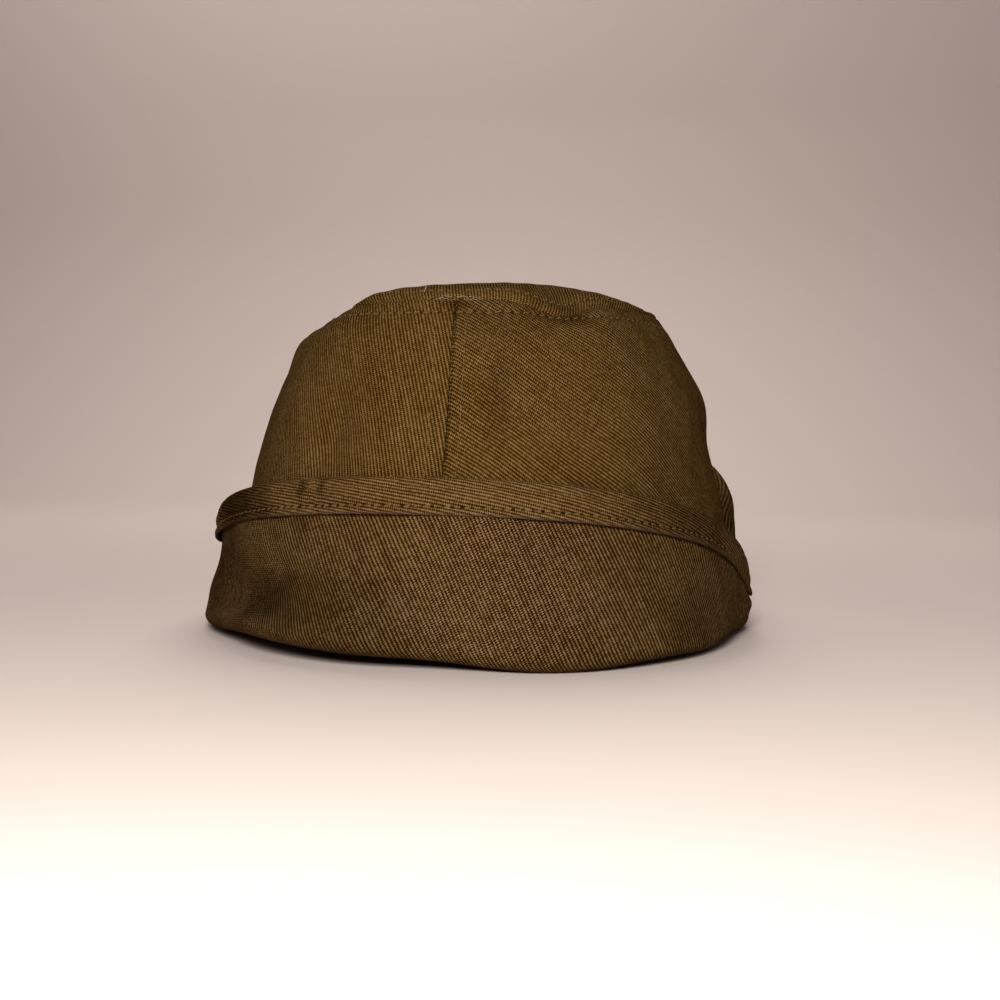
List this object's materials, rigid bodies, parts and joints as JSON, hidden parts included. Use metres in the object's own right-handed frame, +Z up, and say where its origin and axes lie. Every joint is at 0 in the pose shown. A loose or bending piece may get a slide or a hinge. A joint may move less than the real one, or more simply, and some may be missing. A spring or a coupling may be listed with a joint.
{
  "type": "officer cap",
  "caption": "soft cotton-twill field cap with an oval top panel, a two-piece crown, a turned-up neck and ear flap with a bias-cut band along its edge, and a short stitched peak",
  "frame": {"origin": "centre of the bounding box on the surface the cap stands on", "axes": "+Z up, +Y forward to the peak, +X to the wearer's right"},
  "size_m": [0.1978, 0.272, 0.1246],
  "materials": {
    "top_twill": "matte olive-brown cotton twill",
    "crown_twill": "matte olive-brown cotton twill",
    "flap_twill": "matte olive-brown cotton twill",
    "band_twill": "matte olive-brown cotton twill cut on the bias, slightly lighter"
  },
  "bodies": {
    "root": {"crown_top": "top_twill", "crown_left": "crown_twill", "crown_right": "crown_twill", "flap": "flap_twill", "flap_band": "band_twill", "peak": "flap_twill"}
  },
  "joints": []
}
